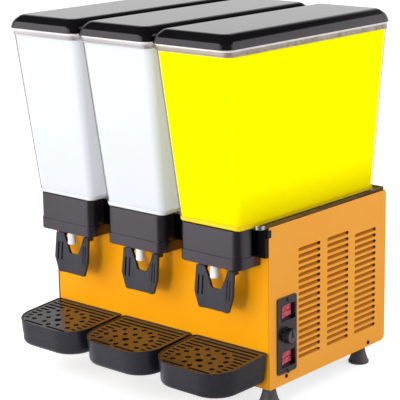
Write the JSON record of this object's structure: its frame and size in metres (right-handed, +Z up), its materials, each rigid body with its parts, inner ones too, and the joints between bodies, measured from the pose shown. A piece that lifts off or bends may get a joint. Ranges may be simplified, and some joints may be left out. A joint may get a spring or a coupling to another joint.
{
  "type": "cold drink dispenser",
  "caption": "Cold drink dispenser: lift-off tapered bowls over a refrigerated louvred cabinet, with push-lever taps and pull-out drip trays.",
  "frame": {"origin": "centre of the object's footprint box, on the surface it stands on", "axes": "+Z up, -Y towards the user, +X to the user's right, on the control plate's side"},
  "size_m": [0.5558, 0.5117, 0.6895],
  "materials": {
    "orange_paint": "semi-gloss orange powder coat",
    "zinc_sheet": "plain galvanised sheet",
    "deck_steel": "satin stainless steel",
    "black_moulding": "satin black moulding",
    "tray_moulding": "satin black moulding",
    "grid_moulding": "satin dark brown-black moulding",
    "lid_gloss": "polished black moulding",
    "knob_black": "satin black",
    "foot_rubber": "black rubber",
    "gasket_rubber": "grey food-grade rubber",
    "tube_silicone": "translucent white silicone",
    "clear_bowl": "clear polycarbonate",
    "paddle_white": "white moulding",
    "magnet_steel": "plated steel",
    "motor_paint": "black machine paint",
    "screw_steel": "zinc-plated steel",
    "copper": "bare copper",
    "fin_aluminium": "mill-finish aluminium",
    "rocker_red": "translucent red",
    "loom_sleeve": "black sleeving"
  },
  "bodies": {
    "root": {"base_pan": "zinc_sheet", "front_panel": "orange_paint", "left_side_panel": "orange_paint", "right_side_panel": "orange_paint", "rear_panel": "zinc_sheet", "top_deck": "deck_steel", "feet": "foot_rubber", "screws": "screw_steel", "head_bracket": "black_moulding", "tap_housings": "black_moulding", "tap_skirts": "black_moulding", "lever_pivot_pins": "screw_steel", "evaporators": "deck_steel", "bowl_gaskets": "gasket_rubber", "drive_motors": "motor_paint", "compressor": "motor_paint", "compressor_grommets": "foot_rubber", "condenser": "fin_aluminium", "fan_shroud": "zinc_sheet", "fan_motor": "motor_paint", "filter_drier": "copper", "refrigerant_lines": "copper", "control_plate": "black_moulding", "switch_bodies": "black_moulding", "thermostat_body": "black_moulding", "cable_gland": "black_moulding", "wiring_loom": "loom_sleeve", "lever_spring_1": "screw_steel", "lever_spring_2": "screw_steel", "lever_spring_3": "screw_steel"},
    "bowl_1": {"bowl_1": "clear_bowl", "dispense_tube_1": "tube_silicone"},
    "lid_1": {"lid_1": "lid_gloss"},
    "lever_1": {"lever_1": "black_moulding"},
    "drip_tray_1": {"drip_tray_1": "tray_moulding"},
    "drip_grid_1": {"drip_grid_1": "grid_moulding"},
    "drive_magnet_1": {"drive_magnet_1": "magnet_steel"},
    "stirring_paddle_1": {"stirring_paddle_1": "paddle_white"},
    "bowl_2": {"bowl_2": "clear_bowl", "dispense_tube_2": "tube_silicone"},
    "lid_2": {"lid_2": "lid_gloss"},
    "lever_2": {"lever_2": "black_moulding"},
    "drip_tray_2": {"drip_tray_2": "tray_moulding"},
    "drip_grid_2": {"drip_grid_2": "grid_moulding"},
    "drive_magnet_2": {"drive_magnet_2": "magnet_steel"},
    "stirring_paddle_2": {"stirring_paddle_2": "paddle_white"},
    "bowl_3": {"bowl_3": "clear_bowl", "dispense_tube_3": "tube_silicone"},
    "lid_3": {"lid_3": "lid_gloss"},
    "lever_3": {"lever_3": "black_moulding"},
    "drip_tray_3": {"drip_tray_3": "tray_moulding"},
    "drip_grid_3": {"drip_grid_3": "grid_moulding"},
    "drive_magnet_3": {"drive_magnet_3": "magnet_steel"},
    "stirring_paddle_3": {"stirring_paddle_3": "paddle_white"},
    "fan_blade": {"fan_blade": "paddle_white"},
    "rocker_1": {"rocker_1": "rocker_red"},
    "rocker_2": {"rocker_2": "rocker_red"},
    "rocker_3": {"rocker_3": "rocker_red"},
    "rocker_4": {"rocker_4": "rocker_red"},
    "thermostat_knob": {"thermostat_knob": "knob_black"}
  },
  "joints": [
    {"name": "bowl_1_lift", "type": "slide", "parent": "root", "child": "bowl_1", "axis": [0, 0, 1], "range_m": [0, 0.2]},
    {"name": "lid_1_lift", "type": "slide", "parent": "bowl_1", "child": "lid_1", "axis": [0, 0, 1], "range_m": [0, 0.1]},
    {"name": "lever_1_push", "type": "hinge", "parent": "root", "child": "lever_1", "pos_m": [-0.18675, -0.15175, 0.285], "axis": [1, 0, 0], "range_deg": [0, 16], "stiffness_Nm_per_rad": 0.5, "springref_deg": -28.65, "deforming": ["lever_spring_1"]},
    {"name": "drip_tray_1_pull", "type": "slide", "parent": "root", "child": "drip_tray_1", "axis": [0, -1, 0], "range_m": [0, 0.15]},
    {"name": "drip_grid_1_lift", "type": "slide", "parent": "drip_tray_1", "child": "drip_grid_1", "axis": [0, 0, 1], "range_m": [0, 0.03]},
    {"name": "drive_magnet_1_spin", "type": "hinge", "parent": "root", "child": "drive_magnet_1", "pos_m": [-0.18675, 0.03025, 0.4], "axis": [0, 0, 1], "continuous": true},
    {"name": "stirring_paddle_1_spin", "type": "hinge", "parent": "root", "child": "stirring_paddle_1", "pos_m": [-0.18675, 0.03025, 0.505], "axis": [0, 0, 1], "continuous": true},
    {"name": "bowl_2_lift", "type": "slide", "parent": "root", "child": "bowl_2", "axis": [0, 0, 1], "range_m": [0, 0.2]},
    {"name": "lid_2_lift", "type": "slide", "parent": "bowl_2", "child": "lid_2", "axis": [0, 0, 1], "range_m": [0, 0.1]},
    {"name": "lever_2_push", "type": "hinge", "parent": "root", "child": "lever_2", "pos_m": [-0.00675, -0.15175, 0.285], "axis": [1, 0, 0], "range_deg": [0, 16], "stiffness_Nm_per_rad": 0.5, "springref_deg": -28.65, "deforming": ["lever_spring_2"]},
    {"name": "drip_tray_2_pull", "type": "slide", "parent": "root", "child": "drip_tray_2", "axis": [0, -1, 0], "range_m": [0, 0.15]},
    {"name": "drip_grid_2_lift", "type": "slide", "parent": "drip_tray_2", "child": "drip_grid_2", "axis": [0, 0, 1], "range_m": [0, 0.03]},
    {"name": "drive_magnet_2_spin", "type": "hinge", "parent": "root", "child": "drive_magnet_2", "pos_m": [-0.00675, 0.03025, 0.4], "axis": [0, 0, 1], "continuous": true},
    {"name": "stirring_paddle_2_spin", "type": "hinge", "parent": "root", "child": "stirring_paddle_2", "pos_m": [-0.00675, 0.03025, 0.505], "axis": [0, 0, 1], "continuous": true},
    {"name": "bowl_3_lift", "type": "slide", "parent": "root", "child": "bowl_3", "axis": [0, 0, 1], "range_m": [0, 0.2]},
    {"name": "lid_3_lift", "type": "slide", "parent": "bowl_3", "child": "lid_3", "axis": [0, 0, 1], "range_m": [0, 0.1]},
    {"name": "lever_3_push", "type": "hinge", "parent": "root", "child": "lever_3", "pos_m": [0.17325, -0.15175, 0.285], "axis": [1, 0, 0], "range_deg": [0, 16], "stiffness_Nm_per_rad": 0.5, "springref_deg": -28.65, "deforming": ["lever_spring_3"]},
    {"name": "drip_tray_3_pull", "type": "slide", "parent": "root", "child": "drip_tray_3", "axis": [0, -1, 0], "range_m": [0, 0.15]},
    {"name": "drip_grid_3_lift", "type": "slide", "parent": "drip_tray_3", "child": "drip_grid_3", "axis": [0, 0, 1], "range_m": [0, 0.03]},
    {"name": "drive_magnet_3_spin", "type": "hinge", "parent": "root", "child": "drive_magnet_3", "pos_m": [0.17325, 0.03025, 0.4], "axis": [0, 0, 1], "continuous": true},
    {"name": "stirring_paddle_3_spin", "type": "hinge", "parent": "root", "child": "stirring_paddle_3", "pos_m": [0.17325, 0.03025, 0.505], "axis": [0, 0, 1], "continuous": true},
    {"name": "fan_blade_spin", "type": "hinge", "parent": "root", "child": "fan_blade", "pos_m": [0.18525, 0.09025, 0.179], "axis": [1, 0, 0], "continuous": true},
    {"name": "rocker_1_tip", "type": "hinge", "parent": "root", "child": "rocker_1", "pos_m": [0.25525, -0.06775, 0.0833], "axis": [0, 0, 1], "range_deg": [-16, 0]},
    {"name": "rocker_2_tip", "type": "hinge", "parent": "root", "child": "rocker_2", "pos_m": [0.25525, -0.06775, 0.0967], "axis": [0, 0, 1], "range_deg": [-16, 0]},
    {"name": "rocker_3_tip", "type": "hinge", "parent": "root", "child": "rocker_3", "pos_m": [0.25525, -0.06775, 0.1713], "axis": [0, 0, 1], "range_deg": [-16, 0]},
    {"name": "rocker_4_tip", "type": "hinge", "parent": "root", "child": "rocker_4", "pos_m": [0.25525, -0.06775, 0.1847], "axis": [0, 0, 1], "range_deg": [-16, 0]},
    {"name": "thermostat_turn", "type": "hinge", "parent": "root", "child": "thermostat_knob", "pos_m": [0.27125, -0.07175, 0.135], "axis": [1, 0, 0], "range_deg": [-280, 0]}
  ],
  "couplings": [
    {"joint": "stirring_paddle_1_spin", "follows": "drive_magnet_1_spin", "ratio": 1},
    {"joint": "stirring_paddle_2_spin", "follows": "drive_magnet_2_spin", "ratio": 1},
    {"joint": "stirring_paddle_3_spin", "follows": "drive_magnet_3_spin", "ratio": 1}
  ]
}
